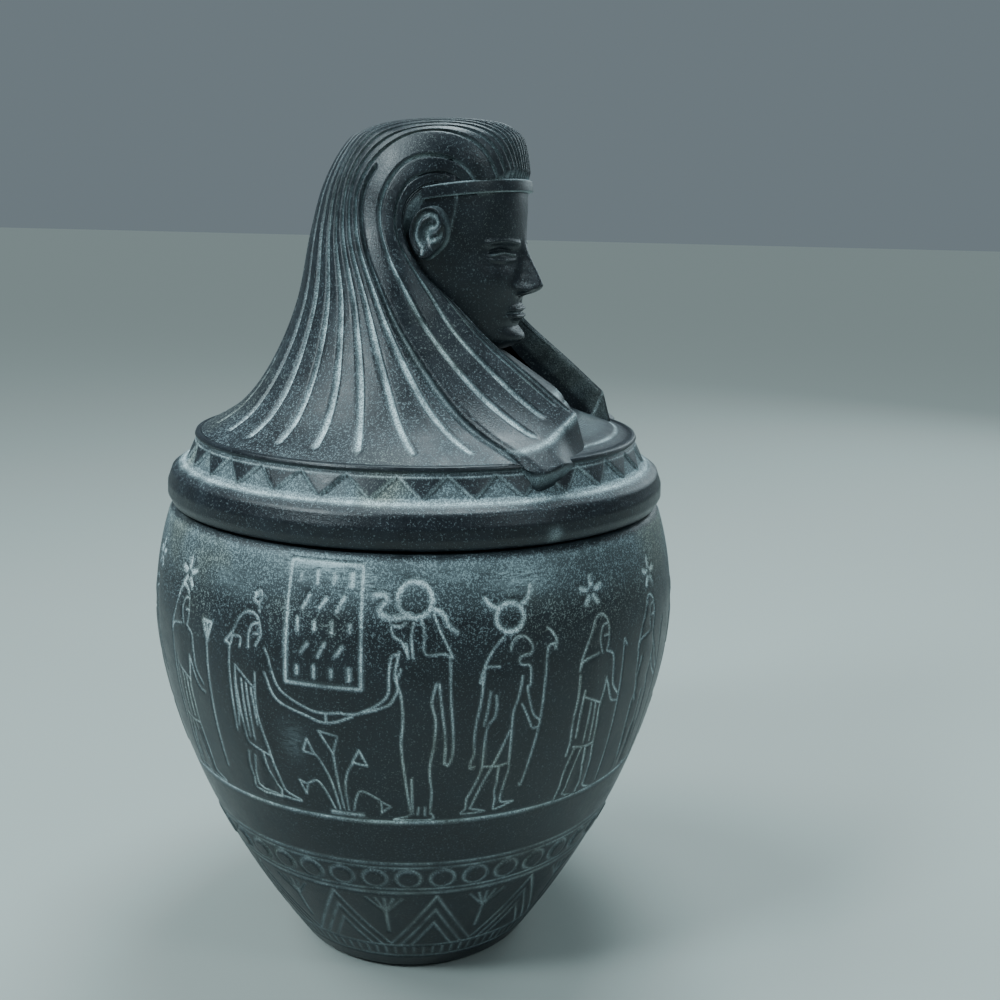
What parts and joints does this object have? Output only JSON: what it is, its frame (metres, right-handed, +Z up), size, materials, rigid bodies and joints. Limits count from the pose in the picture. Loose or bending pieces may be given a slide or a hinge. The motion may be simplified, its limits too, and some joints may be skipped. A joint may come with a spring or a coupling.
{
  "type": "canopic jar",
  "caption": "Hollow cast-stone canopic jar with a relief frieze and a lift-off lid in the form of a wigged human head.",
  "frame": {"origin": "centre of the underside of the foot", "axes": "+Z up along the jar's axis, the face looks along -Y, the figure's right side is at -X"},
  "size_m": [0.1285, 0.1279, 0.202],
  "materials": {
    "jar": "satin near-black cast composition stone with pale dust in the carving",
    "lid": "satin near-black cast composition stone with pale dust in the carving"
  },
  "bodies": {
    "root": {"jar": "jar", "lid": "lid"}
  },
  "joints": []
}
